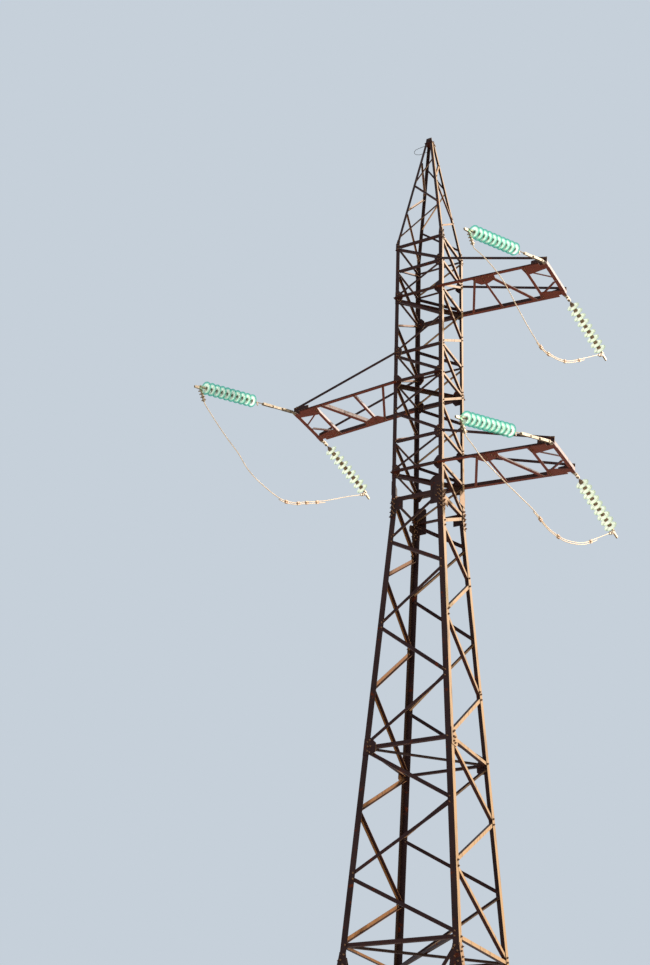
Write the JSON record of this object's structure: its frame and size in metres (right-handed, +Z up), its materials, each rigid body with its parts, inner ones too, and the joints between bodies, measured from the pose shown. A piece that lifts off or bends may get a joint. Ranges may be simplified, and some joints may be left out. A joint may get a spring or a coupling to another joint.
{
  "type": "lattice transmission pylon",
  "caption": "Square lattice tower of steel angles with staggered cross arms, a pointed peak, strings of green glass insulator discs and hanging jumper wires.",
  "frame": {"origin": "tower axis at the underside of the base plates", "axes": "+Z up, +X along the two right arms, -Y the front face"},
  "size_m": [6.5362, 5.4075, 24.59],
  "materials": {
    "leg_steel": "weathered red-brown paint, rust at the edges",
    "bracing_steel": "weathered red-brown paint, rust at the edges",
    "plate_steel": "weathered red-brown paint",
    "foot_steel": "weathered red-brown paint, splashed with dirt",
    "green_glass": "toughened green glass",
    "cap_iron": "dull zinc over cast iron",
    "galvanised_fitting": "dull galvanised, dusty",
    "aluminium_wire": "stranded, weathered",
    "clamp_aluminium": "weathered casting",
    "steel_strand": "weathered strand"
  },
  "bodies": {
    "root": {"foot_shoes": "foot_steel", "stand_legs": "leg_steel", "stand_face_front": "bracing_steel", "stand_face_right": "bracing_steel", "stand_face_back": "bracing_steel", "stand_face_left": "bracing_steel", "splice_plates": "plate_steel", "lower_legs": "leg_steel", "lower_face_front": "bracing_steel", "lower_face_right": "bracing_steel", "lower_face_back": "bracing_steel", "lower_face_left": "bracing_steel", "diaphragms": "bracing_steel", "waist_splices": "plate_steel", "upper_legs": "leg_steel", "upper_face_front": "bracing_steel", "upper_face_right": "bracing_steel", "upper_face_back": "bracing_steel", "upper_face_left": "bracing_steel", "arm_level_diaphragms": "bracing_steel", "peak_legs": "leg_steel", "peak_bracing": "bracing_steel", "peak_head": "plate_steel", "upper_arm_frame": "bracing_steel", "upper_arm_ties": "bracing_steel", "left_arm_frame": "bracing_steel", "left_arm_ties": "bracing_steel", "lower_arm_frame": "bracing_steel", "lower_arm_ties": "bracing_steel", "upper_glass_discs": "green_glass", "left_glass_discs": "green_glass", "lower_glass_discs": "green_glass", "upper_caps": "cap_iron", "left_caps": "cap_iron", "lower_caps": "cap_iron", "upper_fittings": "galvanised_fitting", "left_fittings": "galvanised_fitting", "lower_fittings": "galvanised_fitting", "upper_jumper": "aluminium_wire", "left_jumper": "aluminium_wire", "lower_jumper": "aluminium_wire", "upper_jumper_clamps": "clamp_aluminium", "left_jumper_clamps": "clamp_aluminium", "lower_jumper_clamps": "clamp_aluminium", "peak_wire_loop": "steel_strand"}
  },
  "joints": []
}
